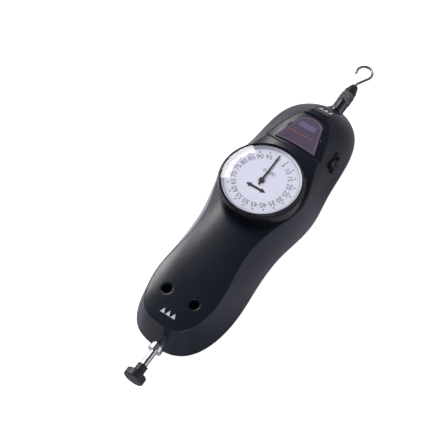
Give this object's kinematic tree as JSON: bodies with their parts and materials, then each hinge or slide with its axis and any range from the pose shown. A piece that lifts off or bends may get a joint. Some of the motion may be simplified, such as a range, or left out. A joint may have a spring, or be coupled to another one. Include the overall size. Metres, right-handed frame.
{
  "type": "mechanical push-pull force gauge",
  "caption": "Hand-held dial force gauge: hook and flat head on one sprung rod, rack and gears to a pointer, turning bezel, hold switch and threaded rear holes.",
  "frame": {"origin": "centre of the four threaded holes in the rear face, on that face", "axes": "+Z out of the dial, away from the rear face; +Y along the measuring rod towards the hook; +X to the right when the dial faces the reader and the hook is up"},
  "size_m": [0.074, 0.3041, 0.0634],
  "materials": {
    "case": "satin black paint",
    "steel": "ground steel",
    "screw_steel": "zinc plated",
    "chrome": "polished",
    "brass": "turned",
    "black_steel": "blackened",
    "bezel": "gloss black",
    "carrier": "moulded",
    "dial": "white enamel",
    "window": "clear",
    "plate": "gloss plum",
    "needle": "matt black",
    "knob": "moulded",
    "aluminium": "machined"
  },
  "bodies": {
    "housing": {"front_case": "case", "rear_case": "case", "case_screws": "screw_steel", "rear_inserts": "brass", "name_plate": "plate", "push_bush": "chrome", "pull_bush": "chrome", "chassis": "aluminium", "chassis_screws": "screw_steel", "rest_block": "aluminium", "spring_block": "aluminium", "main_spring": "steel", "lower_plate": "brass", "upper_plate": "brass", "plate_feet": "aluminium", "plate_pillars": "brass", "plate_screws": "screw_steel", "bezel_clip": "steel"},
    "rod": {"measuring_rod": "steel", "flat_head": "black_steel", "lock_nut": "chrome", "hook_holder": "black_steel", "hook": "chrome", "spring_collar": "steel", "rack": "brass", "rack_bracket": "aluminium", "rack_screws": "screw_steel"},
    "drive": {"drive_arbor": "steel", "gear_wheel": "brass"},
    "needle": {"pointer_arbor": "steel", "hold_wheel": "brass", "pointer": "needle", "pointer_cap": "needle"},
    "dial": {"dial_bezel": "bezel", "dial_carrier": "carrier", "dial_face": "dial", "window_ring": "chrome", "dial_window": "window"},
    "hold": {"hold_knob": "knob", "hold_slide": "carrier", "hold_leaf": "steel"}
  },
  "joints": [
    {"name": "rod_slide", "type": "slide", "parent": "housing", "child": "rod", "axis": [0, 1, 0], "range_m": [0, 0.01], "stiffness_N_per_m": 10000, "deforming": ["main_spring"]},
    {"name": "drive_turn", "type": "hinge", "parent": "housing", "child": "drive", "pos_m": [-0.005, -0.00427, 0.03], "axis": [0, 0, 1], "range_deg": [0, 143.24]},
    {"name": "pointer_turn", "type": "hinge", "parent": "housing", "child": "needle", "pos_m": [0, 0.0125, 0.03], "axis": [0, 0, -1], "range_deg": [0, 358.1]},
    {"name": "bezel_turn", "type": "hinge", "parent": "housing", "child": "dial", "pos_m": [0, 0.0125, 0.055], "axis": [0, 0, 1], "range_deg": [-180, 180]},
    {"name": "hold_slide", "type": "slide", "parent": "housing", "child": "hold", "axis": [-0.1908, 0.9816, 0], "range_m": [0, 0.005]}
  ],
  "couplings": [
    {"joint": "drive_turn", "follows": "rod_slide", "rad_per_m": 250},
    {"joint": "pointer_turn", "follows": "rod_slide", "rad_per_m": 625}
  ]
}
